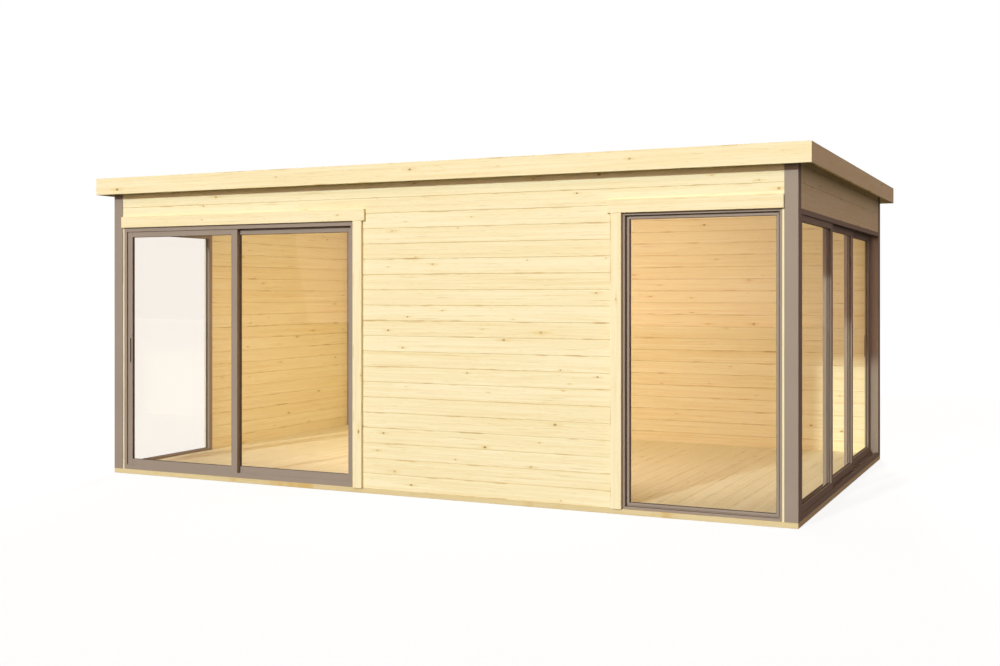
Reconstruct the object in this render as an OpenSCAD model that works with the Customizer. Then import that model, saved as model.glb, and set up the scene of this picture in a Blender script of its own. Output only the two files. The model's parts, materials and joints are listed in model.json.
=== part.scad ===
// Flat-roofed timber garden cabin with glazed corners.
// Millimetres, +Z up. The origin is on the ground, at the centre of the base.
// The front looks towards -Y, and the wide sliding door is on the right end, +X.

/* [Footprint] */
// Length of the base along the front
cabin_w = 5500; // [4800:10:6500]
// Depth of the base from front to rear
cabin_d = 3500; // [3000:10:4200]

/* [Base and floor] */
// Height of the base timbers
sill_h = 36; // [28:1:60]
// Width of the base timbers under the walls
sill_w = 120; // [118:1:160]
// Width of a floor joist
floor_joist_w = 60; // [40:1:90]
// Number of floor joists
floor_joist_count = 5; // [3:1:8]
// Thickness of the floor boards
floor_t = 20; // [16:1:28]

/* [Walls] */
// Thickness of the wall planks
wall_t = 45; // [28:1:60]
// Set-back of the planks behind the faces of the corner posts
wall_setback = 4; // [0:1:10]
// Height of the planks over the door and window frames, up to the roof deck
lintel_h = 359; // [200:1:600]

/* [Corner posts] */
// Width of a square corner post
post_w = 87; // [75:1:110]
// Wall of the post's metal tube
post_wall = 3; // [2:0.5:6]

/* [Openings] */
// Height of the door and window frames
frame_h = 1947; // [1850:1:2100]
// Width of the front door's frame
front_door_w = 2181; // [1800:1:2300]
// Width of a fixed window's frame
window_w = 1048; // [800:1:1150]
// Width of the wood strip between a corner post and a frame
strip_w = 14; // [8:1:30]

/* [Trim boards] */
// Thickness of the casing and header boards
trim_t = 22; // [16:1:26]
// Width of an upright casing
casing_w = 76; // [50:1:100]
// Height of a header board
header_h = 88; // [60:1:120]
// How far a header runs past its casing
header_ear = 22; // [0:1:40]
// Height of the flush board over the right door
flush_header_h = 162; // [120:1:200]

/* [Sliding doors] */
// Set-back of the right door's frame behind the faces of the corner posts
right_door_setback = 0; // [0:1:10]
// Thickness of the frame's web, against the wall
web_t = 14; // [10:1:18]
// Thickness of the frame's front and rear lips
lip_t = 4; // [3:0.5:6]
// Width of the jambs' lips
jamb_lip = 28; // [24:1:34]
// Height of the head's lips
head_lip = 33; // [28:1:40]
// Height of the sill's lips
sill_lip = 38; // [30:1:44]
// Thickness of a sash
sash_t = 27; // [25:1:36]
// Clear space around a sash that slides
run_gap = 6; // [5:0.5:8]
// Width of a sash's stiles
stile_w = 56; // [45:1:75]
// Height of a sash's top rail
top_rail_h = 56; // [45:1:75]
// Height of a sash's bottom rail
bottom_rail_h = 63; // [50:1:90]
// Width of a track rib
rib_w = 4; // [3:0.5:5]
// Clear space on both sides of a rib in its slot
rib_gap = 5; // [4:0.5:5]
// Height of the slot that straddles a track rib
rib_slot_h = 14; // [10:1:18]

/* [Fixed windows] */
// Depth of a window frame
window_depth = 60; // [56:1:75]
// Width of a window frame's outer lip
window_lip = 17; // [12:1:22]
// Width of the shadow groove inside the lip
window_groove_w = 8; // [4:1:12]
// Depth of the shadow groove
window_groove_d = 34; // [20:1:40]
// Width of the inner frame that holds the pane
window_bead_w = 16; // [16:1:30]
// Set-back of the inner frame behind the lip
window_bead_setback = 22; // [8:1:26]
// Thickness of the inner frame in front of the pane
window_cheek = 7; // [6:1:12]
// Set-back of the frame behind the planks
window_setback = 6; // [0:1:10]

/* [Glass] */
// Thickness of the panes
glass_t = 8; // [6:1:14]
// Depth of the pane's edge in its groove
glass_bite = 12; // [8:1:14]

/* [Door pulls] */
// Length of a pull
pull_h = 194; // [140:1:260]
// Width of a pull's plate
pull_w = 23; // [16:1:30]
// Thickness of a pull's plate
pull_t = 3; // [2:0.5:4]
// How far the grip stands off the sash
pull_reach = 9; // [6:0.5:9]
// Height of the pull's centre above the ground
pull_z = 996; // [900:1:1100]

/* [Roof] */
// Overhang of the roof on all sides
overhang = 100; // [60:1:200]
// Height of the fascia boards
fascia_h = 132; // [125:1:180]
// Thickness of the fascia boards
fascia_t = 20; // [16:1:28]
// Thickness of the roof deck
deck_t = 19; // [16:1:28]
// Thickness of the roofing sheet
membrane_t = 4; // [2:0.5:8]
// How far the fascia stands above the roofing sheet
upstand = 15; // [5:1:30]
// Width of a roof joist
roof_joist_w = 45; // [35:1:70]
// Height of a roof joist
roof_joist_h = 95; // [80:1:160]
// Number of roof joists
roof_joist_count = 9; // [6:1:12]

/* [Clearances] */
// Gap between bars, at the panes' edges and at the runners
seat_gap = 0.3; // [0.2:0.1:0.5]

/* [Hidden] */

// Colours of the finishes
spruce = [0.96, 0.87, 0.66];
base_wood = [0.85, 0.80, 0.55];
taupe_metal = [0.60, 0.54, 0.49];
pane = [0.75, 0.85, 0.85, 0.4];
roofing = [0.20, 0.20, 0.21];

// Faces of the base and levels above the ground
right_x = cabin_w / 2;
rear_y = cabin_d / 2;
frame_top = sill_h + frame_h;
wall_h = frame_h + lintel_h;
deck_z = sill_h + wall_h;
fascia_top = deck_z + deck_t + membrane_t + upstand;
inner_face = wall_setback + wall_t;

// Sliding frames: tracks from the outside in, each one sash and one running gap deep
sash_setback = lip_t + run_gap;
track_pitch = sash_t + run_gap;
sash_inset = web_t + run_gap;
sash_z = sill_h + sash_inset;
sash_h = frame_h - 2 * sash_inset;
rib_slot_w = rib_w + 2 * rib_gap;
function frame_depth(track_count) = sash_setback + track_count * track_pitch + lip_t;
function sash_y(track) = sash_setback + track * track_pitch;
function sash_width(length, count) = (length - 2 * sash_inset + (count - 1) * stile_w) / count;
function sash_x(length, count, index) =
  sash_inset + index * (sash_width(length, count) - stile_w);

// Places of the openings along their walls
front_track_count = 2;
right_track_count = 3;
edge_inset = post_w + strip_w;
front_door_x = -right_x + edge_inset;
front_window_x = right_x - edge_inset - window_w;
left_window_y = -rear_y + edge_inset + window_w;
right_door_w = cabin_d - 2 * post_w;
window_face = window_lip + window_groove_w + window_bead_w;

// Wall frames: x runs left to right as seen from outside, y runs into the cabin
module on_front(x) {
  translate([x, -rear_y + wall_setback, 0]) children();
}

module on_right(y, setback = wall_setback) {
  translate([right_x - setback, y, 0]) rotate(90) children();
}

module on_left(y) {
  translate([-right_x + wall_setback, y, 0]) rotate(-90) children();
}

// Bar along x: the section's x becomes height above the bar's outer edge
module lying_bar(length) {
  translate([length, 0, 0]) rotate([0, -90, 0]) linear_extrude(length) children();
}

// Base and floor

module base_sills() {
  color(base_wood) {
    for (side = [0, 1])
      mirror([0, side, 0])
        translate([-right_x, -rear_y, 0]) cube([cabin_w, sill_w, sill_h]);
    for (side = [0, 1])
      mirror([side, 0, 0])
        translate([-right_x, -rear_y + sill_w + seat_gap, 0])
          cube([sill_w, cabin_d - 2 * (sill_w + seat_gap), sill_h]);
  }
}

module floor_joists() {
  bay = (cabin_d - 2 * sill_w) / (floor_joist_count + 1);
  color(base_wood)
    for (i = [1:floor_joist_count])
      translate([-right_x + sill_w, -rear_y + sill_w + i * bay - floor_joist_w / 2, 0])
        cube([cabin_w - 2 * sill_w, floor_joist_w, sill_h]);
}

// Boards between the walls, cut back around the posts and the frames that reach inside
module floor_boards() {
  left_x = -right_x + inner_face + seat_gap;
  width = right_x - right_door_setback - frame_depth(right_track_count) - seat_gap - left_x;
  depth = cabin_d - 2 * (inner_face + seat_gap);
  color(spruce)
    difference() {
      translate([left_x, -depth / 2, sill_h]) cube([width, depth, floor_t]);
      on_front(front_door_x) floor_notch(front_door_w, frame_depth(front_track_count));
      on_front(front_window_x) floor_notch(window_w, window_setback + window_depth);
      on_left(left_window_y) floor_notch(window_w, window_setback + window_depth);
      for (side = [0, 1])
        mirror([0, side, 0]) translate([-right_x, -rear_y, 0]) floor_notch(post_w, post_w);
    }
}

// Room for a post or frame that stands through the floor
module floor_notch(width, depth) {
  translate([-seat_gap, -seat_gap, sill_h - floor_t])
    cube([width + 2 * seat_gap, depth + 2 * seat_gap, 3 * floor_t]);
}

// Walls

module front_wall() {
  x0 = front_door_x + front_door_w;
  color(spruce) on_front(x0)
    translate([0, 0, sill_h]) cube([front_window_x - x0, wall_t, frame_h]);
}

module front_lintel() {
  color(spruce) on_front(-right_x + post_w)
    translate([0, 0, frame_top]) cube([cabin_w - 2 * post_w, wall_t, lintel_h]);
}

module rear_wall() {
  color(spruce)
    translate([-right_x + post_w, rear_y - inner_face, sill_h])
      cube([cabin_w - 2 * post_w, wall_t, wall_h]);
}

module left_wall() {
  color(spruce) on_left(rear_y - post_w)
    translate([0, 0, sill_h]) cube([rear_y - post_w - left_window_y, wall_t, frame_h]);
}

module side_lintel(z, height) {
  translate([0, 0, z]) cube([cabin_d - 2 * post_w, wall_t, height]);
}

module left_lintel() {
  color(spruce) on_left(rear_y - post_w) side_lintel(frame_top, lintel_h);
}

module right_lintel() {
  color(spruce) on_right(-rear_y + post_w)
    side_lintel(frame_top + flush_header_h, lintel_h - flush_header_h);
}

// Corner posts: square tubes closed by the base below and the roof deck above

module corner_post() {
  bore = post_w - 2 * post_wall;
  color(taupe_metal)
    translate([-right_x, -rear_y, sill_h])
      linear_extrude(wall_h)
        difference() {
          square(post_w);
          translate([post_wall, post_wall]) square(bore);
        }
}

module front_left_post() {
  corner_post();
}

module front_right_post() {
  mirror([1, 0, 0]) corner_post();
}

module rear_left_post() {
  mirror([0, 1, 0]) corner_post();
}

module rear_right_post() {
  mirror([1, 0, 0]) mirror([0, 1, 0]) corner_post();
}

// Trim boards, nailed to the planks

module header(x0, x1) {
  translate([x0, -trim_t, frame_top]) cube([x1 - x0, trim_t, header_h]);
}

module casing(x0) {
  translate([x0, -trim_t, sill_h]) cube([casing_w, trim_t, frame_h - seat_gap]);
}

module post_strip(x0) {
  translate([x0, 0, sill_h]) cube([strip_w, wall_t, frame_h]);
}

module front_door_header() {
  color(spruce) on_front(front_door_x)
    header(-strip_w, front_door_w + casing_w + header_ear);
}

module front_door_casings() {
  color(spruce) on_front(front_door_x) {
    post_strip(-strip_w);
    casing(front_door_w);
  }
}

module window_header() {
  header(-casing_w - header_ear, window_w + strip_w);
}

module window_casings() {
  casing(-casing_w);
  post_strip(window_w);
}

module front_window_header() {
  color(spruce) on_front(front_window_x) window_header();
}

module front_window_casings() {
  color(spruce) on_front(front_window_x) window_casings();
}

module left_window_casings() {
  color(spruce) on_left(left_window_y) window_casings();
}

module left_window_header() {
  color(spruce) on_left(left_window_y) window_header();
}

module right_door_header() {
  color(spruce) on_right(-rear_y + post_w) side_lintel(frame_top, flush_header_h);
}

// Sliding door frames

// Channel of a web and two lips, lying on its web
module channel_section(depth, lip) {
  square([web_t, depth]);
  for (y = [0, depth - lip_t])
    translate([0, y]) square([lip, lip_t]);
}

// Channel with a rib on each track between the jambs
module track_bar(length, track_count, lip, rib_top) {
  rib_x = web_t + seat_gap;
  lying_bar(length) channel_section(frame_depth(track_count), lip);
  for (track = [0:track_count - 1])
    translate([rib_x, sash_y(track) + (sash_t - rib_w) / 2, 0])
      cube([length - 2 * rib_x, rib_w, rib_top]);
}

// Upright channel, with a tenon at both ends that stands between the lips of the sill and the head
module jamb(track_count) {
  depth = frame_depth(track_count);
  tenon_y = lip_t + seat_gap;
  tenon_z = web_t + seat_gap;
  lip_z = sill_lip + seat_gap;
  translate([0, 0, sill_h + lip_z])
    linear_extrude(frame_h - lip_z - head_lip - seat_gap)
      channel_section(depth, jamb_lip);
  translate([0, tenon_y, sill_h + tenon_z])
    cube([web_t, depth - 2 * tenon_y, frame_h - 2 * tenon_z]);
}

module sliding_frame(length, track_count) {
  sill_rib = sash_inset + rib_slot_h - seat_gap;
  head_rib = sash_inset + rib_slot_h - run_gap;
  color(taupe_metal) {
    translate([0, 0, sill_h]) track_bar(length, track_count, sill_lip, sill_rib);
    translate([0, 0, frame_top]) mirror([0, 0, 1]) track_bar(length, track_count, head_lip, head_rib);
    jamb(track_count);
    translate([length, 0, 0]) mirror([1, 0, 0]) jamb(track_count);
  }
}

// Sashes

// Section of a bar, from its outer edge to the pane: a box with a groove for the glass
module sash_section(width) {
  groove_w = glass_t + 2 * seat_gap;
  difference() {
    square([width, sash_t]);
    translate([width - glass_bite - seat_gap, (sash_t - groove_w) / 2])
      square([glass_bite + 2 * seat_gap, groove_w]);
  }
}

// Slot along the foot or the top of a sash, where it straddles its rib
module rib_slot(length, slot_h) {
  translate([-seat_gap, (sash_t - rib_slot_w) / 2, -seat_gap])
    cube([length + 2 * seat_gap, rib_slot_w, slot_h + seat_gap]);
}

module stile() {
  linear_extrude(sash_h) sash_section(stile_w);
}

module sash(width) {
  rail_x = stile_w + seat_gap;
  rail = width - 2 * rail_x;
  color(taupe_metal)
    difference() {
      union() {
        stile();
        translate([width, 0, 0]) mirror([1, 0, 0]) stile();
        translate([rail_x, 0, 0]) lying_bar(rail) sash_section(bottom_rail_h);
        translate([rail_x, 0, sash_h]) mirror([0, 0, 1]) lying_bar(rail) sash_section(top_rail_h);
      }
      rib_slot(width, rib_slot_h);
      translate([0, 0, sash_h]) mirror([0, 0, 1]) rib_slot(width, rib_slot_h);
    }
}

module sash_glass(width) {
  x0 = stile_w - glass_bite;
  z0 = bottom_rail_h - glass_bite;
  color(pane)
    translate([x0, (sash_t - glass_t) / 2, z0])
      cube([width - 2 * x0, glass_t, sash_h - z0 - top_rail_h + glass_bite]);
}

// Pull: a plate with a grip along its edge, standing off the sash's face towards -y
module pull() {
  color(taupe_metal)
    translate([-pull_w / 2, 0, pull_z - pull_h / 2])
      linear_extrude(pull_h)
        polygon([
          [0, 0], [0, -pull_t], [pull_w - 2 * pull_t, -pull_t], [pull_w - pull_t, -pull_reach],
          [pull_w, -pull_reach], [pull_w, 0]
        ]);
}

module in_track(length, count, index, track) {
  translate([sash_x(length, count, index), sash_y(track), sash_z]) children();
}

// Front sliding door: the left sash slides to the right in front of the fixed one

module front_door_frame() {
  on_front(front_door_x) sliding_frame(front_door_w, front_track_count);
}

module in_front_door(index) {
  on_front(front_door_x) in_track(front_door_w, front_track_count, index, index) children();
}

front_sash_w = sash_width(front_door_w, front_track_count);

module front_sliding_sash() {
  in_front_door(0) sash(front_sash_w);
}

module front_sliding_glass() {
  in_front_door(0) sash_glass(front_sash_w);
}

module front_door_pull() {
  on_front(front_door_x + sash_inset + stile_w / 2)
    translate([0, sash_y(0), 0]) pull();
}

module front_fixed_sash() {
  in_front_door(1) sash(front_sash_w);
}

module front_fixed_glass() {
  in_front_door(1) sash_glass(front_sash_w);
}

// Right sliding door: the middle and rear sashes slide forward behind the fixed front one

module right_door_frame() {
  on_right(-rear_y + post_w, right_door_setback)
    sliding_frame(right_door_w, right_track_count);
}

module in_right_door(index) {
  on_right(-rear_y + post_w, right_door_setback)
    in_track(right_door_w, right_track_count, index, index) children();
}

right_sash_w = sash_width(right_door_w, right_track_count);

module right_fixed_sash() {
  in_right_door(0) sash(right_sash_w);
}

module right_fixed_glass() {
  in_right_door(0) sash_glass(right_sash_w);
}

module right_middle_sash() {
  in_right_door(1) sash(right_sash_w);
}

module right_middle_glass() {
  in_right_door(1) sash_glass(right_sash_w);
}

module right_rear_sash() {
  in_right_door(2) sash(right_sash_w);
}

module right_rear_glass() {
  in_right_door(2) sash_glass(right_sash_w);
}

// The rear sash runs on the inner track, so its pull is on the room side
module right_door_pull() {
  on_right(rear_y - post_w - sash_inset - stile_w / 2, right_door_setback)
    translate([0, sash_y(2) + sash_t, 0]) mirror([0, 1, 0]) mirror([1, 0, 0]) pull();
}

// Fixed windows

// Section from the outer edge to the pane: lip, shadow groove, and the inner frame with its glass groove
module window_section() {
  groove_w = glass_t + 2 * seat_gap;
  difference() {
    square([window_face, window_depth]);
    translate([window_lip, -seat_gap]) square([window_groove_w, window_groove_d + seat_gap]);
    translate([window_lip, -seat_gap])
      square([window_groove_w + window_bead_w + seat_gap, window_bead_setback + seat_gap]);
    translate([window_face - glass_bite - seat_gap, pane_y - seat_gap])
      square([glass_bite + 2 * seat_gap, groove_w]);
  }
}

// Depth of the pane's outer face behind the lip
pane_y = window_bead_setback + window_cheek;

// Bar along x with both ends cut at 45 degrees
module mitred_bar(length) {
  reach = window_face + seat_gap;
  intersection() {
    lying_bar(length) window_section();
    translate([0, window_depth + seat_gap, 0])
      rotate([90, 0, 0])
        linear_extrude(window_depth + 2 * seat_gap)
          polygon([
            [seat_gap, 0], [length - seat_gap, 0],
            [length - seat_gap - reach, reach], [seat_gap + reach, reach]
          ]);
  }
}

module fixed_window() {
  color(taupe_metal)
    translate([0, window_setback, sill_h]) {
      mitred_bar(window_w);
      translate([window_w, 0, 0]) rotate([0, -90, 0]) mitred_bar(frame_h);
      translate([window_w, 0, frame_h]) rotate([0, 180, 0]) mitred_bar(window_w);
      translate([0, 0, frame_h]) rotate([0, 90, 0]) mitred_bar(frame_h);
    }
}

module fixed_glass() {
  edge = window_face - glass_bite;
  color(pane)
    translate([edge, window_setback + pane_y, sill_h + edge])
      cube([window_w - 2 * edge, glass_t, frame_h - 2 * edge]);
}

module front_window_frame() {
  on_front(front_window_x) fixed_window();
}

module front_window_glass() {
  on_front(front_window_x) fixed_glass();
}

module left_window_frame() {
  on_left(left_window_y) fixed_window();
}

module left_window_glass() {
  on_left(left_window_y) fixed_glass();
}

// Roof

module roof_joists() {
  bay = (cabin_w - 2 * inner_face) / (roof_joist_count + 1);
  color(spruce)
    for (i = [1:roof_joist_count])
      translate([-right_x + inner_face + i * bay - roof_joist_w / 2, 0, deck_z - roof_joist_h])
        translate([0, -rear_y + inner_face, 0])
          cube([roof_joist_w, cabin_d - 2 * inner_face, roof_joist_h]);
}

// Sheet that fills the ring of fascia boards
module roof_sheet(z, thickness) {
  reach = overhang - fascia_t;
  translate([-right_x - reach, -rear_y - reach, z])
    cube([cabin_w + 2 * reach, cabin_d + 2 * reach, thickness]);
}

module roof_deck() {
  color(spruce) roof_sheet(deck_z, deck_t);
}

module roof_membrane() {
  color(roofing) roof_sheet(deck_z + deck_t, membrane_t);
}

module long_fascia() {
  color(spruce)
    translate([-right_x - overhang, -rear_y - overhang, fascia_top - fascia_h])
      cube([cabin_w + 2 * overhang, fascia_t, fascia_h]);
}

module end_fascia() {
  reach = rear_y + overhang - fascia_t;
  color(spruce)
    translate([-right_x - overhang, -reach, fascia_top - fascia_h])
      cube([fascia_t, 2 * reach, fascia_h]);
}

module front_fascia() {
  long_fascia();
}

module rear_fascia() {
  mirror([0, 1, 0]) long_fascia();
}

module left_fascia() {
  end_fascia();
}

module right_fascia() {
  mirror([1, 0, 0]) end_fascia();
}

base_sills();
floor_joists();
floor_boards();  // floor
front_wall();
front_lintel();
rear_wall();
left_wall();
left_lintel();
right_lintel();
front_left_post();
front_right_post();
rear_left_post();
rear_right_post();
front_door_header();
front_door_casings();
front_window_header();
front_window_casings();
left_window_header();
left_window_casings();
right_door_header();
front_door_frame();
front_fixed_sash();
front_fixed_glass();
front_sliding_sash();
front_sliding_glass();
front_door_pull();
front_window_frame();
front_window_glass();
left_window_frame();
left_window_glass();
right_door_frame();
right_fixed_sash();
right_fixed_glass();
right_middle_sash();
right_middle_glass();
right_rear_sash();
right_rear_glass();
right_door_pull();
roof_joists();
roof_deck();
roof_membrane();
front_fascia();
rear_fascia();
left_fascia();
right_fascia();
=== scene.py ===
"""Dresses the timber garden cabin: boards, coated profiles, glazing, roofing and a studio stage."""

import json
import math
from collections import namedtuple

import bpy
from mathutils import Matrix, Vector

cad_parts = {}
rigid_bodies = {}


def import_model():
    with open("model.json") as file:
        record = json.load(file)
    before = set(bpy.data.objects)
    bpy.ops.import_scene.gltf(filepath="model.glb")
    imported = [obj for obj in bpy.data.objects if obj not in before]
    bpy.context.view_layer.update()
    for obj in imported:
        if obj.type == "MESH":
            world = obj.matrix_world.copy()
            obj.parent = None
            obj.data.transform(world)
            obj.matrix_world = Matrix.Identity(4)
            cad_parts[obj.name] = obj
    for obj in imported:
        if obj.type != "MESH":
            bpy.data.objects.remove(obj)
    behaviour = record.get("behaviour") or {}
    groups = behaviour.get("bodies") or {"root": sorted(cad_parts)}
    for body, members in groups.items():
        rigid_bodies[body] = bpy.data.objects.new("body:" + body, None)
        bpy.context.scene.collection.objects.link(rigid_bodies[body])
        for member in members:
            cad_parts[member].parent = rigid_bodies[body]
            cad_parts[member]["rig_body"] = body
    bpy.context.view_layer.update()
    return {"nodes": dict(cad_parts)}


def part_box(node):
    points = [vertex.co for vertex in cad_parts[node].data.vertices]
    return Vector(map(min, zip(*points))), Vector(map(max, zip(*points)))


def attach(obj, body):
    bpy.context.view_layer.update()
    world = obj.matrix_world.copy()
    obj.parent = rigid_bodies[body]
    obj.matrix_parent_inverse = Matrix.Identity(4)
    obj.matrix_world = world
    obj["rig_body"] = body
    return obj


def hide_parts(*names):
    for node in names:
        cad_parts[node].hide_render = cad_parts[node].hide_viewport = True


bl_info = {
    "name": "Timber garden cabin",
    "version": (1, 0, 0),
    "blender": (4, 5, 0),
    "location": "3D View > Sidebar > Cabin",
    "description": "Boards, coated profiles, glazing and roofing for the packed cabin",
    "category": "Object",
}

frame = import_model()

X, Y, Z = 0, 1, 2
WHITE = (1.0, 1.0, 1.0)

# Places closer than this are one place, and a face turned this far to an axis faces it
CLOSE = 1e-4
WELD = 1e-5
FACING = 0.9
# How far a cutting box goes past a piece, and the floor's play round posts and frames
CLEAR = 1.0
NOTCH_PLAY = 0.0003
# Share of a board's thickness on each side of its tongue
CHEEK_SHARE = 0.35
# Rounding of the dark pads that paint shade on the pulls' lips and of the seals, and of roofing laps, as
# a share of their height
PAD_EASE = 0.4
LAP_EASE = 0.7
# Places of the roofing laps, as shares of the roof's width from its middle
LAP_PLACES = (-0.25, 0.0, 0.25)


# Sizes and colours that a user would change


def length(name, description, default):
    return bpy.props.FloatProperty(
        name=name, description=description, default=default, unit="LENGTH", precision=4
    )


def number(name, description, default):
    return bpy.props.FloatProperty(name=name, description=description, default=default)


def colour(name, description, default):
    return bpy.props.FloatVectorProperty(
        name=name, description=description, default=default, subtype="COLOR", size=3, min=0.0, max=1.0
    )


def share(name, description, default):
    return bpy.props.FloatProperty(
        name=name, description=description, default=default, subtype="FACTOR", min=0.0, max=1.0
    )


class CabinBoards(bpy.types.PropertyGroup):
    """Boards of the walls, floor and roof."""

    wall_cover: length("Wall plank cover", "Visible height of a wall plank", 0.111)
    wall_chamfer: length("Wall chamfer", "Chamfer on the long edges of a wall plank", 0.0032)
    wall_tongue: length("Wall tongue", "Height of a wall plank's tongue", 0.009)
    floor_cover: length("Floor board cover", "Visible width of a floor board", 0.121)
    roof_cover: length("Roof board cover", "Visible width of a roof board", 0.096)
    thin_chamfer: length("Thin board chamfer", "Chamfer on floor and roof boards", 0.0014)
    thin_tongue: length("Thin board tongue", "Tongue of floor and roof boards", 0.006)
    slit: length("Slit", "Gap left between two boards", 0.0005)
    arris: length("Trim arris", "Rounding of trim, fascia and base timbers", 0.002)
    pale: colour("Pale wood", "Early wood of the spruce", (0.948, 0.876, 0.586))
    honey: colour("Honey wood", "Late wood of the spruce", (0.822, 0.655, 0.285))
    resin: colour("Resin", "Resin streaks and stained plank edges", (0.620, 0.410, 0.120))
    knot: colour("Knot", "Rim of a knot", (0.330, 0.185, 0.055))
    floor_pale: colour("Floor board", "Early wood of the floor boards", (0.920, 0.890, 0.655))
    floor_honey: colour("Floor grain", "Late wood of the floor boards", (0.780, 0.675, 0.395))
    base_pale: colour("Base timber", "Impregnated base timber", (0.790, 0.690, 0.410))
    base_honey: colour("Base grain", "Grain of the base timber", (0.640, 0.520, 0.250))
    knot_share: share("Knots", "Share of plank stretches that hold a knot", 0.45)


class CabinMetal(bpy.types.PropertyGroup):
    """Coated aluminium and the small metal pieces."""

    post_round: length("Post corner", "Corner radius of the posts", 0.004)
    profile_arris: length("Profile arris", "Rounding of frame and sash profiles", 0.0009)
    # The pad on a pull's lip is a dark strip put where the lip's side is in shade: painted shade
    pad_thick: length("Pad thickness", "Thickness of the rubber pad on a pull's lip", 0.0016)
    pad_end: length("Pad end", "Distance of the pad from the ends of a pull", 0.006)
    coat: colour("Coating", "Satin taupe powder coat", (0.356, 0.298, 0.243))
    coat_dark: colour("Coating, low", "Coating where it is a little darker", (0.334, 0.278, 0.225))


class CabinGlazing(bpy.types.PropertyGroup):
    """Panes and their seals."""

    bite: length("Glass bite", "Depth of a pane in its groove", 0.012)
    seal_width: length("Seal width", "Visible width of a glazing seal", 0.0022)
    seal_depth: length("Seal depth", "Height of a glazing seal above the pane", 0.0018)
    rubber: colour("Rubber", "Glazing seals and brushes", (0.045, 0.040, 0.037))
    tint: colour("Glass", "Tint of the panes", (0.990, 0.982, 0.970))


class CabinRoofing(bpy.types.PropertyGroup):
    """Roofing sheet."""

    rise: length("Edge rise", "Rise of the sheet at the fascia", 0.011)
    cove: length("Cove", "Width of the rise at the fascia", 0.035)
    lap: length("Lap", "Width of a lap between two sheets", 0.09)
    lap_height: length("Lap height", "Height of a lap", 0.0016)
    sheet: colour("Sheet", "Rubber roofing", (0.052, 0.053, 0.055))
    dust: colour("Dust", "Dust on the roofing", (0.105, 0.10, 0.092))


class CabinStage(bpy.types.PropertyGroup):
    """Floor, light and camera."""

    sun: number("Sun", "Strength of the key light", 2.07)
    back: number("Back", "Strength of the light from behind", 2.2)
    front: number("Front", "Strength of the broad fill in front", 1.46)
    sky: number("Sky", "Strength of the light from all round", 0.415)
    fill: colour("Fill", "Colour of the light from all round", (1.0, 0.72, 0.64))
    room: number("Room", "Power of the soft light in the room", 45.0)
    lens: number("Lens", "Focal length in millimetres", 43.46)
    turn: bpy.props.FloatProperty(
        name="Turn", description="Turn of the camera", default=math.radians(25.525), subtype="ANGLE"
    )
    eye: bpy.props.FloatVectorProperty(
        name="Eye", description="Place of the camera", default=(4.2736, -9.2652, 1.4515), unit="LENGTH"
    )


# Shader maths


class Signal:
    """A value in a finish; arithmetic on it adds Math nodes."""

    def __init__(self, finish, socket):
        self.finish = finish
        self.socket = socket

    def out(self, key):
        return Signal(self.finish, self.socket.node.outputs[key])

    def maths(self, operation, *values):
        return self.finish.node("ShaderNodeMath", {"operation": operation}, dict(enumerate(values)))

    def __add__(self, other):
        return self.maths("ADD", self, other)

    __radd__ = __add__

    def __sub__(self, other):
        return self.maths("SUBTRACT", self, other)

    def __rsub__(self, other):
        return self.maths("SUBTRACT", other, self)

    def __mul__(self, other):
        return self.maths("MULTIPLY", self, other)

    __rmul__ = __mul__

    def __truediv__(self, other):
        return self.maths("DIVIDE", self, other)

    def __pow__(self, other):
        return self.maths("POWER", self, other)

    def __abs__(self):
        return self.maths("ABSOLUTE", self)

    def floor(self):
        return self.maths("FLOOR", self)

    def fract(self):
        return self.maths("FRACT", self)

    def root(self):
        return self.maths("SQRT", self)

    def below(self, limit):
        return self.maths("LESS_THAN", self, limit)

    def most(self, other):
        return self.maths("MAXIMUM", self, other)

    def ramp(self, low, high, start=0.0, end=1.0):
        """Smooth step from start to end as the value goes from low to high."""
        inputs = dict(enumerate((self, low, high, start, end)))
        return self.finish.node("ShaderNodeMapRange", {"interpolation_type": "SMOOTHSTEP"}, inputs)

    def swing(self, size):
        """A share turned into a value round nought, size from end to end."""
        return (self - 0.5) * size


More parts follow.
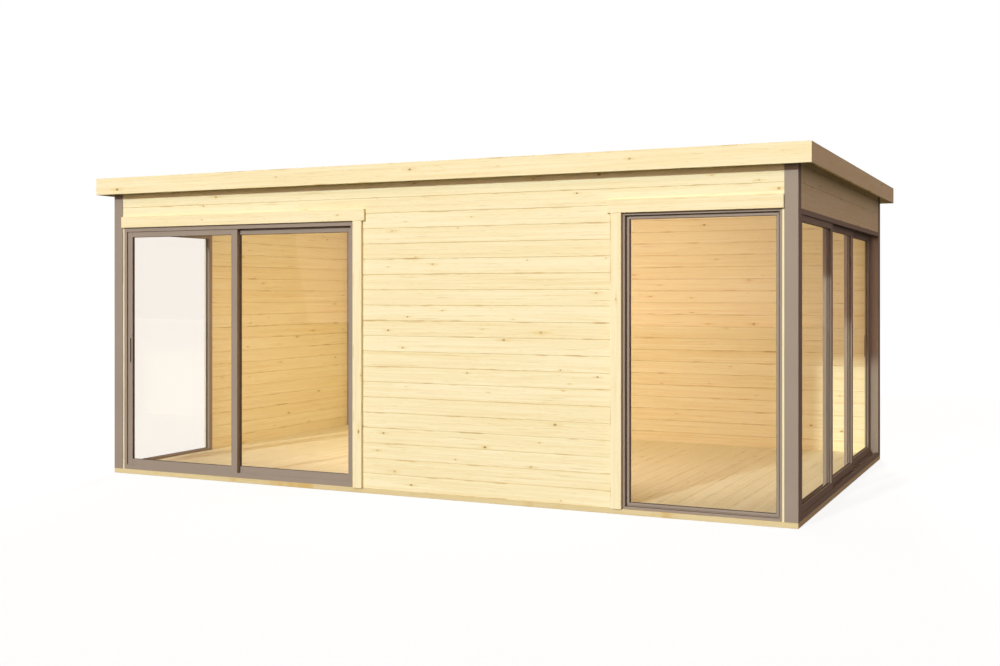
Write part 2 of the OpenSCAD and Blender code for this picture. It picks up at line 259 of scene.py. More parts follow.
class Finish:
    """Node tree of one material or of the world."""

    def __init__(self, owner):
        owner.use_nodes = True
        self.owner = owner
        self.tree = owner.node_tree
        self.tree.nodes.clear()

    def node(self, kind, settings=None, inputs=None, output=0):
        """Any node: its settings are set first, then its sockets take values or links."""
        node = self.tree.nodes.new(kind)
        for key, value in (settings or {}).items():
            setattr(node, key, value)
        for key, value in (inputs or {}).items():
            self.feed(node.inputs[key], value)
        return Signal(self, node.outputs[output]) if len(node.outputs) else None

    def feed(self, socket, value):
        if isinstance(value, Signal):
            self.tree.links.new(value.socket, socket)
        elif socket.type == "RGBA":
            socket.default_value = (*value[:3], 1.0)
        else:
            socket.default_value = value

    def place(self):
        """Object coordinates as a vector."""
        return self.node("ShaderNodeTexCoord", output="Object")

    def parts(self, vector):
        split = self.node("ShaderNodeSeparateXYZ", inputs={0: vector})
        return [split.out(axis) for axis in (X, Y, Z)]

    def point(self, *values):
        return self.node("ShaderNodeCombineXYZ", inputs=dict(enumerate(values)))

    def noise(self, vector, scale=1.0, detail=2.0, rough=0.5):
        inputs = {"Vector": vector, "Scale": scale, "Detail": detail, "Roughness": rough}
        return self.node("ShaderNodeTexNoise", inputs=inputs)

    def chance(self, vector):
        """Three random shares that stay the same all over a cell."""
        dice = self.node("ShaderNodeTexWhiteNoise", {"noise_dimensions": "3D"}, {"Vector": vector})
        return self.parts(dice.out("Color"))

    def mix(self, factor, first, second):
        """A colour between two colours."""
        settings = {"data_type": "RGBA", "clamp_factor": True}
        return self.node("ShaderNodeMix", settings, {0: factor, 6: first, 7: second}, output=2)

    def blend(self, factor, first, second):
        """A shader between two shaders."""
        return self.node("ShaderNodeMixShader", inputs={0: factor, 1: first, 2: second})

    def bump(self, height, strength, distance):
        inputs = {"Strength": strength, "Distance": distance, "Height": height}
        return self.node("ShaderNodeBump", inputs=inputs)

    def principled(self, **inputs):
        sockets = {key.replace("_", " "): value for key, value in inputs.items()}
        return self.node("ShaderNodeBsdfPrincipled", inputs=sockets)

    def surface(self, shader):
        kind = "World" if isinstance(self.owner, bpy.types.World) else "Material"
        self.node(f"ShaderNodeOutput{kind}", inputs={"Surface": shader})
        return self.owner


def new_finish(name):
    return Finish(bpy.data.materials.new(name))


# Finishes

# A stretch of board holds one knot or none, clear of the stretch's ends and the board's edges
KNOT_STRETCH = 0.55
KNOT_MARGIN = 0.15
KNOT_BAND = 0.84
KNOT_LEAST = 0.0030
KNOT_SPAN = 0.0058
# Year rings lie round a pith behind the board
PITH_SPREAD = 0.11
PITH_LEAST = 0.035
PITH_SPAN = 0.07
RING_WIDTH = 0.0042
# Each board's grain starts elsewhere, and the far side of the cabin has boards of its own
BOARD_SHIFT = 31.0
FAR_SIDE = 57.0
# The mirror of a pane, seen straight on and gained at a slant
MIRROR_LEAST = 0.02
MIRROR_GROWTH = 0.05

SEEDS = {
    "planks": 11.0,
    "headers": 23.0,
    "door_board": 27.0,
    "casings": 31.0,
    "floor": 41.0,
    "long_sills": 61.0,
    "end_sills": 67.0,
    "fascia": 71.0,
    "roof_joists": 83.0,
    "roof_boards": 89.0,
}
# Width of the grain's pattern on pieces that aren't laid as boards, and the base timbers' middle
CASING_COVER = 0.1
JOIST_COVER = 0.3
BASE_MIDDLE = 0.018

Lay = namedtuple("Lay", "run across start cover middle seed")
Palette = namedtuple("Palette", "pale honey resin knot knot_share")


def scaled(tone, factor):
    return tuple(part * factor for part in tone)


def third(first, second):
    """The axis that is neither of two."""
    return X + Y + Z - first - second


def timber(name, lay, palette):
    """Sawn softwood: year rings bent round knots, fine streaks, stained edges, each board its own.

    Boards lie along run, repeat every cover from start along across, and are centred at middle in depth.
    """
    finish = new_finish(name)
    axes = finish.parts(finish.place())
    along, over, thick = axes[lay.run], axes[lay.across], axes[third(lay.run, lay.across)]
    deep = abs(thick) - lay.middle
    row = ((over - lay.start) / lay.cover).floor()
    local = over - lay.start - (row + 0.5) * lay.cover
    board = row + thick.below(0.0) * FAR_SIDE + lay.seed
    tone, sideways, depth = finish.chance(finish.point(board, 0.5, 0.5))
    slide = along + sideways * BOARD_SHIFT

    stretch = slide / KNOT_STRETCH
    cell = stretch.floor()
    knot_along, knot_over, knot_size = finish.chance(finish.point(cell, board, 3.5))
    kept, kind, depth_of_tone = finish.chance(finish.point(cell, board, 7.5))
    knot_place = KNOT_MARGIN + (1.0 - 2.0 * KNOT_MARGIN) * knot_along
    off_along = (stretch.fract() - knot_place) * KNOT_STRETCH
    off_over = local - knot_over.swing(lay.cover * KNOT_BAND)
    wobble = finish.noise(finish.point(along * 150.0, over * 150.0, board))
    radius = KNOT_LEAST + KNOT_SPAN * knot_size * knot_size
    shape = 0.75 + wobble * 0.5

    def distance(squeeze):
        """Distance from the knot in radii, drawn out along the board."""
        return ((off_along * squeeze) ** 2.0 + off_over * off_over).root() / radius * shape

    def grain(length_scale, cross_scale, lift=0.0, detail=2.0):
        """Noise drawn out along the board."""
        point = finish.point(slide * length_scale, over * cross_scale, deep * cross_scale + lift)
        return finish.noise(point, detail=detail)

    reach = distance(0.62)
    present = kept.below(palette.knot_share)
    knot_mask = reach.ramp(0.7, 1.2, 1.0, 0.0) * present
    halo = distance(0.22).ramp(0.5, 2.6, 1.0, 0.0) * present

    pith_over = local + sideways.swing(PITH_SPREAD)
    pith_deep = deep + PITH_LEAST + depth * PITH_SPAN
    growth = (pith_over * pith_over + pith_deep * pith_deep).root()
    rings = growth / RING_WIDTH + grain(0.9, 7.0) * 5.0 + halo * 2.6
    late = rings.fract() ** 2.2
    streaks = grain(7.0, 240.0, detail=3.0)
    bands = grain(0.9, 62.0)
    clouds = finish.noise(finish.point(slide * 0.7, over * 5.0, board))
    flecks = grain(15.0, 150.0, lift=3.0).ramp(0.60, 0.76)
    veins = grain(3.4, 105.0, lift=7.0).ramp(0.62, 0.80)
    rim = abs(local).ramp(lay.cover * 0.40, lay.cover * 0.49)
    joint = abs(local).ramp(lay.cover * 0.465, lay.cover * 0.495)
    stain = finish.noise(finish.point(slide * 4.2, board * 3.7, local.below(0.0))).ramp(0.54, 0.70)

    amount = 0.15 + late * 0.20 + streaks.swing(0.55) + bands.swing(1.0)
    amount = amount + clouds.swing(0.6) + tone.swing(0.18) + halo * 0.42 + flecks * 0.45
    wood = finish.mix(amount, palette.pale, palette.honey)
    stained = veins * 0.42 + rim * stain * 0.66 + joint * 0.13 + halo * flecks * 0.35
    wood = finish.mix(stained, wood, palette.resin)
    heart = finish.mix(reach.ramp(0.15, 0.9), scaled(palette.knot, 1.7), palette.knot)
    dark = finish.mix(kind.ramp(0.6, 0.9), heart, scaled(palette.knot, 0.45))
    base = finish.mix(knot_mask * (0.28 + 0.62 * depth_of_tone), wood, dark)
    rough = 0.62 - late * 0.07 + streaks.swing(0.12)
    height = late * 0.45 + streaks * 0.55 - knot_mask * 0.3
    normal = finish.bump(height, 0.22, 0.0007)
    shader = finish.principled(Base_Color=base, Roughness=rough, Normal=normal, Specular_IOR_Level=0.2)
    return finish.surface(shader)


def coated_aluminium(name, light, dark):
    """Satin metallic coat with a fine orange peel."""
    finish = new_finish(name)
    place = finish.place()
    drift = finish.noise(place, 2.3, 3.0)
    peel = finish.noise(place, 620.0)
    speck = finish.noise(place, 1500.0, 1.0)
    base = finish.mix(drift.ramp(0.3, 0.7) * 0.7 + speck * 0.3, dark, light)
    rough = 0.55 + drift.swing(0.12) + speck.swing(0.10)
    normal = finish.bump(peel, 0.10, 0.0003)
    shader = finish.principled(
        Base_Color=base, Roughness=rough, Normal=normal, Metallic=0.1, Specular_IOR_Level=0.01
    )
    return finish.surface(shader)


def rubber_seal(name, tone):
    """Matt black rubber with a fine grain."""
    finish = new_finish(name)
    grain = finish.noise(finish.place(), 900.0)
    base = finish.mix(grain.ramp(0.3, 0.8), tone, scaled(tone, 1.9))
    rough = 0.62 + grain.swing(0.2)
    normal = finish.bump(grain, 0.2, 0.0003)
    return finish.surface(finish.principled(Base_Color=base, Roughness=rough, Normal=normal))


def clear_glass(name, tint):
    """Thin clear glass with a faint mirror that grows at a slant."""
    finish = new_finish(name)
    slant = finish.node("ShaderNodeFresnel", inputs={"IOR": 1.45})
    through = finish.node("ShaderNodeBsdfTransparent", inputs={"Color": tint})
    mirror = finish.node("ShaderNodeBsdfGlossy", inputs={"Color": WHITE, "Roughness": 0.02})
    return finish.surface(finish.blend(slant * MIRROR_GROWTH + MIRROR_LEAST, through, mirror))


def roofing_rubber(name, sheet, dust):
    """Rubber roofing with clouds of dust."""
    finish = new_finish(name)
    place = finish.place()
    clouds = finish.noise(place, 1.7, 5.0, 0.6)
    pores = finish.noise(place, 260.0)
    base = finish.mix((clouds * 0.8 + pores * 0.2).ramp(0.4, 0.72), sheet, dust)
    rough = 0.72 + clouds.swing(0.3)
    normal = finish.bump(clouds * 0.7 + pores * 0.05, 0.35, 0.004)
    return finish.surface(finish.principled(Base_Color=base, Roughness=rough, Normal=normal))


def wood_finish(name, lay, kind=""):
    """A timber finish in the cabin's colours, made once; kind picks the floor's or the base's pair."""
    found = bpy.data.materials.get(name)
    if found:
        return found
    boards = bpy.context.scene.cabin_boards
    pale, honey = getattr(boards, f"{kind}pale"), getattr(boards, f"{kind}honey")
    colours = [tuple(part) for part in (pale, honey, boards.resin, boards.knot)]
    return timber(name, lay, Palette(*colours, boards.knot_share))


def metal_finish():
    metal = bpy.context.scene.cabin_metal
    found = bpy.data.materials.get("taupe_coat")
    return found or coated_aluminium("taupe_coat", tuple(metal.coat), tuple(metal.coat_dark))


def rubber_finish():
    found = bpy.data.materials.get("seal_rubber")
    return found or rubber_seal("seal_rubber", tuple(bpy.context.scene.cabin_glazing.rubber))


# Modelling steps


def deselect():
    if bpy.context.mode != "OBJECT":
        bpy.ops.object.mode_set(mode="OBJECT")
    bpy.ops.object.select_all(action="DESELECT")


def activate(piece):
    deselect()
    piece.select_set(True)
    bpy.context.view_layer.objects.active = piece


def edit_all(piece):
    activate(piece)
    bpy.context.tool_settings.mesh_select_mode = (True, False, False)
    bpy.ops.object.mode_set(mode="EDIT")
    bpy.ops.mesh.select_all(action="SELECT")


def pick(piece, kind, test):
    """Opens a piece in edit mode with only the faces or edges that pass the test selected."""
    activate(piece)
    mesh = piece.data
    for parts in (mesh.vertices, mesh.edges, mesh.polygons):
        parts.foreach_set("select", [False] * len(parts))
    chosen = [part for part in (mesh.polygons if kind == "FACE" else mesh.edges) if test(part)]
    if not chosen:
        raise RuntimeError(f"nothing to pick on {piece.name}")
    for part in chosen:
        part.select = True
    bpy.context.tool_settings.mesh_select_mode = (False, kind == "EDGE", kind == "FACE")
    bpy.ops.object.mode_set(mode="EDIT")


def block(name, low, high):
    """A box from corner to corner, the start of a piece."""
    deselect()
    low, high = Vector(low), Vector(high)
    bpy.ops.mesh.primitive_cube_add(size=1.0, location=(low + high) / 2, scale=high - low)
    piece = bpy.context.object
    piece.name = name
    piece.data.name = name
    bpy.ops.object.transform_apply(location=True, rotation=True, scale=True)
    return piece


def finish_with(piece, kind, **settings):
    """Adds a modifier and applies it."""
    activate(piece)
    modifier = piece.modifiers.new(kind.title(), kind)
    for key, value in settings.items():
        setattr(modifier, key, value)
    bpy.ops.object.modifier_apply(modifier=modifier.name)


def ease(piece, width, segments=2):
    """Rounds the sharp edges of a piece."""
    sharp = math.radians(35)
    finish_with(piece, "BEVEL", width=width, segments=segments, limit_method="ANGLE", angle_limit=sharp)


def drop(piece):
    mesh = piece.data
    bpy.data.objects.remove(piece, do_unlink=True)
    bpy.data.meshes.remove(mesh)


def cut_out(piece, low, high):
    """Takes a box out of a piece."""
    tool = block("opening", low, high)
    finish_with(piece, "BOOLEAN", operation="DIFFERENCE", solver="EXACT", object=tool)
    drop(tool)


def saw_off(piece, point, normal):
    """Cuts off what lies beyond a plane."""
    edit_all(piece)
    bpy.ops.mesh.bisect(plane_co=point, plane_no=normal, use_fill=True, clear_outer=True)
    deselect()


def join(pieces, name):
    """One piece from several."""
    activate(pieces[0])
    for piece in pieces:
        piece.select_set(True)
    if len(pieces) > 1:
        bpy.ops.object.join()
    joined = bpy.context.view_layer.objects.active
    joined.name = name
    joined.data.name = name
    return joined


def eased_copy(node, name, width, segments=2):
    """Merged copy of a CAD node with its edges rounded."""
    piece = bpy.data.objects.new(name, frame["nodes"][node].data.copy())
    piece.data.name = name
    bpy.context.scene.collection.objects.link(piece)
    edit_all(piece)
    bpy.ops.mesh.remove_doubles(threshold=WELD)
    bpy.ops.mesh.dissolve_limited(angle_limit=math.radians(0.5))
    deselect()
    activate(piece)
    bpy.ops.mesh.customdata_custom_splitnormals_clear()
    bpy.ops.object.shade_flat()
    ease(piece, width, segments)
    return piece


def dress(piece, materials, body, replaced=(), choose=None):
    """Gives a piece its finish and its body, and hides the nodes that it stands for."""
    piece.data.materials.clear()
    for material in materials:
        piece.data.materials.append(material)
    for face in piece.data.polygons:
        face.material_index = choose(face.center) if choose else 0
    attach(piece, body)
    if replaced:
        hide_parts(*replaced)
    return piece


def body_of(node):
    return frame["nodes"][node]["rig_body"]


def nodes_ending(*endings):
    return sorted(name for name in frame["nodes"] if name.endswith(endings))


def long_axis(low, high):
    """The longer level axis of a box."""
    return X if high.x - low.x > high.y - low.y else Y


def middle_depth(low, high, axis):
    """How far the middle of a box is from the origin along an axis."""
    return abs(low[axis] + high[axis]) / 2


def step_along(axis, distance):
    step = Vector((0.0, 0.0, 0.0))
    step[axis] = distance
    return step


def board_field(name, low, high, run, stack, cover, tongue, chamfer):
    """Tongue-and-groove boards from corner to corner, lying along run, side by side along stack."""
    slit = bpy.context.scene.cabin_boards.slit
    thick = third(run, stack)
    low, high = Vector(low), Vector(high)
    far = high.copy()
    far[stack] = low[stack] + cover - slit
    board = block(name, low, far)
    cheek = (high[thick] - low[thick]) * CHEEK_SHARE
    for side, inset, travel in ((1, cheek + slit, tongue), (-1, cheek, tongue + slit)):
        pick(board, "FACE", lambda face: face.normal[stack] * side > FACING)
        bpy.ops.mesh.inset(thickness=inset)
        bpy.ops.mesh.extrude_region_move(TRANSFORM_OT_translate={"value": step_along(stack, travel)})
        deselect()

    def on_arris(vertex):
        place = board.data.vertices[vertex].co
        return all(min(abs(place[a] - low[a]), abs(place[a] - far[a])) < CLOSE for a in (stack, thick))

    def long_arris(edge):
        first, second = (board.data.vertices[vertex].co[run] for vertex in edge.vertices)
        return abs(first - second) > CLOSE and all(on_arris(vertex) for vertex in edge.vertices)

    pick(board, "EDGE", long_arris)
    bpy.ops.mesh.bevel(offset=chamfer, segments=1, affect="EDGES")
    deselect()
    count = math.ceil((high[stack] - low[stack]) / cover - CLOSE)
    finish_with(
        board,
        "ARRAY",
        count=count,
        use_relative_offset=False,
        use_constant_offset=True,
        constant_offset_displace=step_along(stack, cover),
    )
    saw_off(board, high, step_along(stack, 1.0))
    return board


def ring(name, low, high, through, width):
    """A rectangular ring seen through one axis."""
    piece = block(name, low, high)
    pick(piece, "FACE", lambda face: abs(face.normal[through]) > FACING)
    bpy.ops.mesh.inset(thickness=width, use_individual=True)
    bpy.ops.mesh.bridge_edge_loops()
    deselect()
    return piece


# Pieces


class CABIN_OT_planks(bpy.types.Operator):
    """Walls of tongue-and-groove planks, cut out around the doors and windows"""

    bl_idname = "cabin.planks"
    bl_label = "Plank walls"

    def wall(self, name, low, high, run, openings, replaced):
        boards = bpy.context.scene.cabin_boards
        piece = board_field(
            name, low, high, run, Z, boards.wall_cover, boards.wall_tongue, boards.wall_chamfer
        )
        for opening in openings:
            cut_out(piece, *opening)
        middle = middle_depth(low, high, third(run, Z))
        label = "planks_along_x" if run == X else "planks_along_y"
        lay = Lay(run, Z, low[Z], boards.wall_cover, middle, SEEDS["planks"] + run)
        return dress(piece, [wood_finish(label, lay)], "root", replaced)

    def execute(self, context):
        wall_low, wall_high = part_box("front_wall")
        low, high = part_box("front_lintel")
        head = low.z
        low.z = wall_low.z
        below = wall_low.z - CLEAR
        door = ((low.x - CLEAR, low.y - CLEAR, below), (wall_low.x, high.y + CLEAR, head))
        window = ((wall_high.x, low.y - CLEAR, below), (high.x + CLEAR, high.y + CLEAR, head))
        self.wall("front_planks", low, high, X, (door, window), ("front_wall", "front_lintel"))
        self.wall("rear_planks", *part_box("rear_wall"), X, (), ("rear_wall",))
        wall_low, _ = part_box("left_wall")
        low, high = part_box("left_lintel")
        low.z = wall_low.z
        window = ((low.x - CLEAR, low.y - CLEAR, below), (high.x + CLEAR, wall_low.y, head))
        self.wall("left_planks", low, high, Y, (window,), ("left_wall", "left_lintel"))
        self.wall("right_planks", *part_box("right_lintel"), Y, (), ("right_lintel",))
        return {"FINISHED"}


class CABIN_OT_floor(bpy.types.Operator):
    """Boarded floor, notched around the posts and frames"""

    bl_idname = "cabin.floor"
    bl_label = "Floor boards"

    def execute(self, context):
        boards = context.scene.cabin_boards
        low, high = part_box("floor")
        piece = board_field(
            "floor_boarding", low, high, Y, X, boards.floor_cover, boards.thin_tongue, boards.thin_chamfer
        )
        play = Vector((NOTCH_PLAY, NOTCH_PLAY, CLEAR))
        for node in (
            "front_door_frame",
            "front_window_frame",
            "left_window_frame",
            "front_left_post",
            "rear_left_post",
        ):
            stand_low, stand_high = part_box(node)
            cut_out(piece, stand_low - play, stand_high + play)
        lay = Lay(Y, X, low.x, boards.floor_cover, middle_depth(low, high, Z), SEEDS["floor"])
        material = wood_finish("floor_wood", lay, kind="floor_")
        dress(piece, [material], "root", ("floor",))
        return {"FINISHED"}


class CABIN_OT_base(bpy.types.Operator):
    """Base sills and floor joists"""

    bl_idname = "cabin.base"
    bl_label = "Base timbers"

    def execute(self, context):
        arris = context.scene.cabin_boards.arris
        low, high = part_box("base_sills")
        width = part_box("floor_joists")[0].x - low.x
        lay = Lay(X, Y, low.y, width, BASE_MIDDLE, SEEDS["long_sills"])
        long_sill = wood_finish("base_along_x", lay, kind="base_")
        lay = Lay(Y, X, low.x, width, BASE_MIDDLE, SEEDS["end_sills"])
        end_sill = wood_finish("base_along_y", lay, kind="base_")

        def which(centre):
            return 0 if abs(centre.y) > high.y - width else 1

        piece = eased_copy("base_sills", "base_sill_timbers", arris)
        dress(piece, [long_sill, end_sill], "root", ("base_sills",), which)
        piece = eased_copy("floor_joists", "floor_joist_timbers", arris)
        dress(piece, [long_sill], "root", ("floor_joists",))
        return {"FINISHED"}


def flat_board(node, label, arris):
    """A header or fascia board: the CAD board with eased edges and grain along its length."""
    low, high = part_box(node)
    run = long_axis(low, high)
    axis = "x" if run == X else "y"
    lay = Lay(run, Z, low.z, high.z - low.z, middle_depth(low, high, third(run, Z)), SEEDS[label] + run)
    material = wood_finish(f"{label}_along_{axis}", lay)
    piece = eased_copy(node, f"{node}_board", arris)
    return dress(piece, [material], "root", (node,))


class CABIN_OT_trim(bpy.types.Operator):
    """Header boards and casings"""

    bl_idname = "cabin.trim"
    bl_label = "Trim boards"

    def execute(self, context):
        boards = context.scene.cabin_boards
        for node in ("front_door_header", "front_window_header", "left_window_header"):
            flat_board(node, "headers", boards.arris)
        flat_board("right_door_header", "door_board", boards.wall_chamfer)
        for node in ("front_door_casings", "front_window_casings", "left_window_casings"):
            low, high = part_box(node)
            across = long_axis(low, high)
            side = third(across, Z)
            outer = max(abs(low[side]), abs(high[side]))
            lay = Lay(Z, across, low[across], CASING_COVER, outer, SEEDS["casings"] + across)
            piece = eased_copy(node, f"{node}_boards", boards.arris)
            dress(piece, [wood_finish(f"{node}_wood", lay)], "root", (node,))
        return {"FINISHED"}


class CABIN_OT_fascia(bpy.types.Operator):
    """Fascia boards round the roof"""

    bl_idname = "cabin.fascia"
    bl_label = "Fascia boards"

    def execute(self, context):
        for node in ("front_fascia", "rear_fascia", "left_fascia", "right_fascia"):
            flat_board(node, "fascia", context.scene.cabin_boards.arris)
        return {"FINISHED"}


class CABIN_OT_profiles(bpy.types.Operator):
    """Corner posts, door and window frames, sashes and pulls in coated aluminium"""

    bl_idname = "cabin.profiles"
    bl_label = "Metal profiles"

    def execute(self, context):
        metal = context.scene.cabin_metal
        coat = metal_finish()
        for node in nodes_ending("_post"):
            piece = eased_copy(node, f"{node}_tube", metal.post_round, 4)
            dress(piece, [coat], body_of(node), (node,))
        for node in nodes_ending("_frame", "_sash"):
            piece = eased_copy(node, f"{node}_profile", metal.profile_arris)
            dress(piece, [coat], body_of(node), (node,))
        for node, lip_axis, lip_side in (("front_door_pull", X, 1), ("right_door_pull", Y, -1)):
            piece = eased_copy(node, f"{node}_grip", metal.profile_arris, 3)
            dress(piece, [coat], body_of(node), (node,))
            # A dark pad on the shaded side of the pull's lip: painted shade
            self.grip_pad(node, lip_axis, lip_side, metal)
        return {"FINISHED"}

    def grip_pad(self, node, lip_axis, lip_side, metal):
        """A dark rubber pad on the side of a pull's lip that lies in shade: painted shade that makes that
        side read darker.
        """
        pull_low, pull_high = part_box(node)
        inset = Vector((metal.profile_arris, metal.profile_arris, metal.pad_end))
        low, high = pull_low + inset, pull_high - inset
        root = (pull_high if lip_side > 0 else pull_low)[lip_axis]
        low[lip_axis], high[lip_axis] = sorted((root, root + lip_side * metal.pad_thick))
        # The pad is dark rubber put where there is only shade: painted shade
        piece = block(f"{node}_pad", low, high)
        ease(piece, metal.pad_thick * PAD_EASE)
        dress(piece, [rubber_finish()], body_of(node))


class CABIN_OT_glazing(bpy.types.Operator):
    """Panes and the rubber seals that hold them"""

    bl_idname = "cabin.glazing"
    bl_label = "Glazing"

    def execute(self, context):
        glazing = context.scene.cabin_glazing
        glass = clear_glass("pane_glass", tuple(glazing.tint))
        rubber = rubber_finish()
        for node in nodes_ending("_glass"):
            for slot in frame["nodes"][node].material_slots:
                slot.material = glass
            low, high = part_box(node)
            through = third(long_axis(low, high), Z)
            bite = Vector((glazing.bite, glazing.bite, glazing.bite))
            seals = []
            for face, outward in ((low, -glazing.seal_depth), (high, glazing.seal_depth)):
                seal_low, seal_high = low + bite, high - bite
                ends = sorted((face[through], face[through] + outward))
                seal_low[through], seal_high[through] = ends
                seals.append(ring("seal", seal_low, seal_high, through, glazing.seal_width))
            piece = join(seals, node.replace("_glass", "_seal"))
            ease(piece, glazing.seal_depth * PAD_EASE)
            dress(piece, [rubber], body_of(node))
        return {"FINISHED"}


class CABIN_OT_roof(bpy.types.Operator):
    """Roof joists, roof boards and the roofing sheet"""

    bl_idname = "cabin.roof"
    bl_label = "Roof"

    def execute(self, context):
        boards = context.scene.cabin_boards
        low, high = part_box("roof_joists")
        lay = Lay(Y, X, low.x, JOIST_COVER, middle_depth(low, high, Z), SEEDS["roof_joists"])
        piece = eased_copy("roof_joists", "roof_joist_timbers", boards.arris)
        dress(piece, [wood_finish("roof_joists", lay)], "root", ("roof_joists",))
        low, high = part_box("roof_deck")
        piece = board_field(
            "roof_boarding", low, high, X, Y, boards.roof_cover, boards.thin_tongue, boards.thin_chamfer
        )
        lay = Lay(X, Y, low.y, boards.roof_cover, middle_depth(low, high, Z), SEEDS["roof_boards"])
        dress(piece, [wood_finish("roof_boards", lay)], "root", ("roof_deck",))
        self.sheet(context.scene.cabin_roofing)
        return {"FINISHED"}

    def sheet(self, roofing):
        """The roofing sheet, raised at its rim, with laps across it."""
        low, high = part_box("roof_membrane")
        piece = block("roofing_cover", low, high)
        pick(piece, "FACE", lambda face: face.normal.z > FACING)
        bpy.ops.mesh.inset(thickness=roofing.cove)
        deselect()

        def on_rim(edge):
            first, second = (piece.data.vertices[vertex].co for vertex in edge.vertices)
            centre = (first + second) / 2
            outer = abs(centre.x) > high.x - CLOSE or abs(centre.y) > high.y - CLOSE
            return outer and centre.z > high.z - CLOSE

        pick(piece, "EDGE", on_rim)
        bpy.ops.transform.translate(value=(0.0, 0.0, roofing.rise))
        deselect()
        laps = []
        for place in LAP_PLACES:
            centre = place * (high.x - low.x)
            lap = block(
                "lap",
                (centre - roofing.lap / 2, low.y + roofing.cove, high.z - roofing.lap_height),
                (centre + roofing.lap / 2, high.y - roofing.cove, high.z + roofing.lap_height),
            )
            ease(lap, roofing.lap_height * LAP_EASE)
            laps.append(lap)
        piece = join([piece, *laps], "roofing_cover")
        rubber = roofing_rubber("roofing_rubber", tuple(roofing.sheet), tuple(roofing.dust))
        dress(piece, [rubber], "root", ("roof_membrane",))


# Stage

# Share of the white surroundings that shows in reflections
GLOSS_SHARE = 0.10
# The floor is dark to the cabin's light and glows near white to the eye
FLOOR_SIZE = 90.0
FLOOR_UNSEEN = (0.07, 0.07, 0.07)
FLOOR_SEEN = (0.20, 0.20, 0.20)
FLOOR_GLOW = (0.985, 1.0, 1.0)
GLOW_STRENGTH = 0.872
# Far lamps: setting with the strength, spread in degrees, colour, and the way the light goes
FarLamp = namedtuple("FarLamp", "name setting spread tone travel")
FAR_LAMPS = (
    FarLamp("key_light", "sun", 3.0, (0.87, 1.0, 1.0), (0.18, 1.0, -0.325)),
    FarLamp("front_fill", "front", 70.0, (1.0, 0.68, 0.59), (0.0, 1.0, -0.10)),
    FarLamp("back_light", "back", 12.0, (1.0, 0.97, 0.93), (0.30, -1.0, -0.45)),
)
LAMP_DISTANCE = 8.0
# The room's lamp: share of the roof's width, height, gap to the front wall and the joists, slope, colour
ROOM_SHARE = 0.72
ROOM_HEIGHT = 0.9
ROOM_GAP = 0.5
ROOM_SLOPE = -0.32
ROOM_TONE = (1.0, 0.82, 0.78)
SENSOR_WIDTH = 36.0
LENS_SHIFT = (0.0040, -0.0393)


def aim(lamp, travel):
    lamp.rotation_euler = Vector(travel).to_track_quat("-Z", "Y").to_euler()


def seen(finish):
    """How much of the white surroundings a ray meets: all in view and through glass, less in mirrors."""
    path = finish.node("ShaderNodeLightPath")
    direct = path.out("Is Camera Ray").most(path.out("Is Transmission Ray"))
    return direct.most(path.out("Is Glossy Ray") * GLOSS_SHARE)


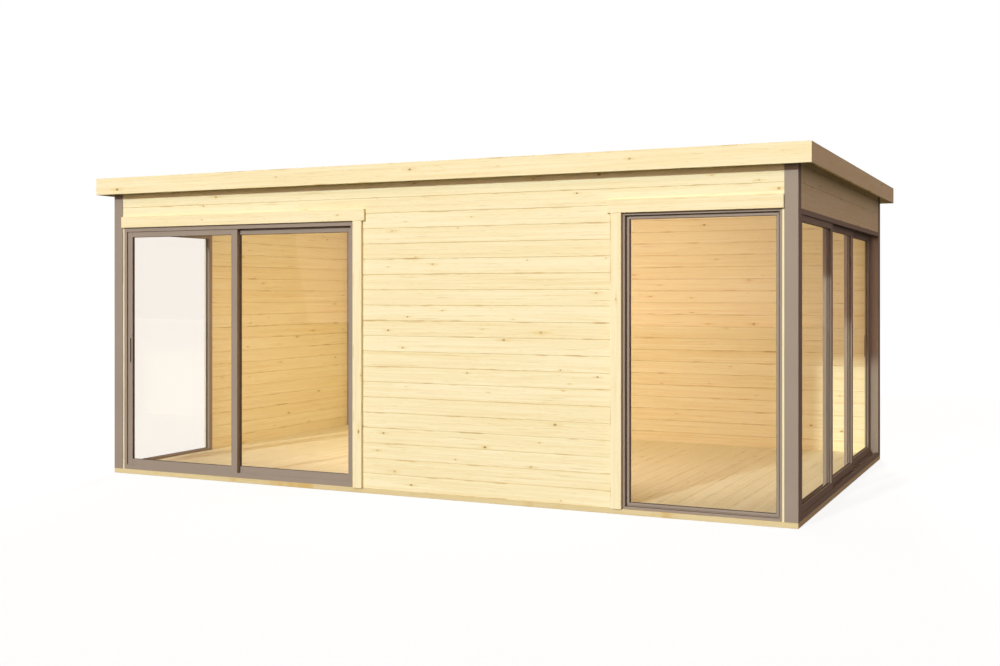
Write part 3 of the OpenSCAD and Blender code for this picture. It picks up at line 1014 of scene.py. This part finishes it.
class CABIN_OT_stage(bpy.types.Operator):
    """Pale floor, soft key light, white surroundings and the camera"""

    bl_idname = "cabin.stage"
    bl_label = "Stage"

    def white_floor(self):
        deselect()
        bpy.ops.mesh.primitive_plane_add(size=FLOOR_SIZE, location=(0.0, 0.0, 0.0))
        floor = bpy.context.object
        floor.name = "studio_floor"
        finish = new_finish("studio_floor")
        plain = finish.node("ShaderNodeBsdfDiffuse", inputs={"Color": FLOOR_UNSEEN})
        faint = finish.node("ShaderNodeBsdfDiffuse", inputs={"Color": FLOOR_SEEN})
        glow = finish.node("ShaderNodeEmission", inputs={"Color": FLOOR_GLOW, "Strength": GLOW_STRENGTH})
        bright = finish.node("ShaderNodeAddShader", inputs={0: faint, 1: glow})
        finish.surface(finish.blend(seen(finish), plain, bright))
        floor.data.materials.append(finish.owner)

    def surroundings(self, strength, fill):
        world = bpy.context.scene.world or bpy.data.worlds.new("studio")
        bpy.context.scene.world = world
        finish = Finish(world)
        share_seen = seen(finish)
        level = strength + share_seen * (1.0 - strength)
        inputs = {"Color": finish.mix(share_seen, fill, WHITE), "Strength": level}
        finish.surface(finish.node("ShaderNodeBackground", inputs=inputs))

    def far_light(self, kind, strength):
        light = bpy.data.lights.new(kind.name, "SUN")
        light.energy = strength
        light.angle = math.radians(kind.spread)
        light.color = kind.tone
        lamp = bpy.data.objects.new(kind.name, light)
        aim(lamp, kind.travel)
        lamp.location = -LAMP_DISTANCE * Vector(kind.travel)
        bpy.context.scene.collection.objects.link(lamp)

    def room_light(self, power):
        """A soft light behind the front wall, turned to the rear wall and a little down."""
        light = bpy.data.lights.new("room_light", "AREA")
        light.shape = "RECTANGLE"
        low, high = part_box("roof_joists")
        light.size = (high.x - low.x) * ROOM_SHARE
        light.size_y = ROOM_HEIGHT
        light.energy = power
        light.color = ROOM_TONE
        lamp = bpy.data.objects.new("room_light", light)
        lamp.location = ((low.x + high.x) / 2, low.y + ROOM_GAP, low.z - ROOM_GAP)
        aim(lamp, (0.0, 1.0, ROOM_SLOPE))
        lamp.visible_camera = False
        lamp.visible_glossy = False
        lamp.visible_transmission = False
        bpy.context.scene.collection.objects.link(lamp)

    def photo_camera(self, stage):
        lens = bpy.data.cameras.new("photo_camera")
        lens.lens = stage.lens
        lens.sensor_width = SENSOR_WIDTH
        lens.shift_x, lens.shift_y = LENS_SHIFT
        camera = bpy.data.objects.new("photo_camera", lens)
        camera.location = stage.eye
        camera.rotation_euler = (math.radians(90.0), 0.0, stage.turn)
        bpy.context.scene.collection.objects.link(camera)
        bpy.context.scene.camera = camera

    def execute(self, context):
        stage = context.scene.cabin_stage
        self.white_floor()
        self.surroundings(stage.sky, tuple(stage.fill))
        for kind in FAR_LAMPS:
            self.far_light(kind, getattr(stage, kind.setting))
        self.room_light(stage.room)
        self.photo_camera(stage)
        context.scene.view_settings.view_transform = "Standard"
        return {"FINISHED"}


# Panel and registration


class CABIN_PT_panel(bpy.types.Panel):
    """Lists the cabin's pieces and settings"""

    bl_idname = "CABIN_PT_panel"
    bl_label = "Timber cabin"
    bl_space_type = "VIEW_3D"
    bl_region_type = "UI"
    bl_category = "Cabin"

    def draw(self, context):
        for operator in OPERATORS:
            self.layout.operator(operator.bl_idname)
        for name in GROUPS:
            box = self.layout.box()
            group = getattr(context.scene, name)
            for key in group.bl_rna.properties.keys():
                if key not in ("rna_type", "name"):
                    box.prop(group, key)


OPERATORS = (
    CABIN_OT_stage,
    CABIN_OT_planks,
    CABIN_OT_floor,
    CABIN_OT_base,
    CABIN_OT_trim,
    CABIN_OT_fascia,
    CABIN_OT_profiles,
    CABIN_OT_glazing,
    CABIN_OT_roof,
)
GROUPS = {
    "cabin_boards": CabinBoards,
    "cabin_metal": CabinMetal,
    "cabin_glazing": CabinGlazing,
    "cabin_roofing": CabinRoofing,
    "cabin_stage": CabinStage,
}


def register():
    for group in GROUPS.values():
        bpy.utils.register_class(group)
    for name, group in GROUPS.items():
        setattr(bpy.types.Scene, name, bpy.props.PointerProperty(type=group))
    for kind in (*OPERATORS, CABIN_PT_panel):
        bpy.utils.register_class(kind)


def unregister():
    for kind in (CABIN_PT_panel, *reversed(OPERATORS)):
        bpy.utils.unregister_class(kind)
    for name in GROUPS:
        delattr(bpy.types.Scene, name)
    for group in GROUPS.values():
        bpy.utils.unregister_class(group)


def main():
    register()
    for operator in OPERATORS:
        group, name = operator.bl_idname.split(".")
        getattr(getattr(bpy.ops, group), name)()
    bpy.context.view_layer.update()


if __name__ == "__main__":
    main()
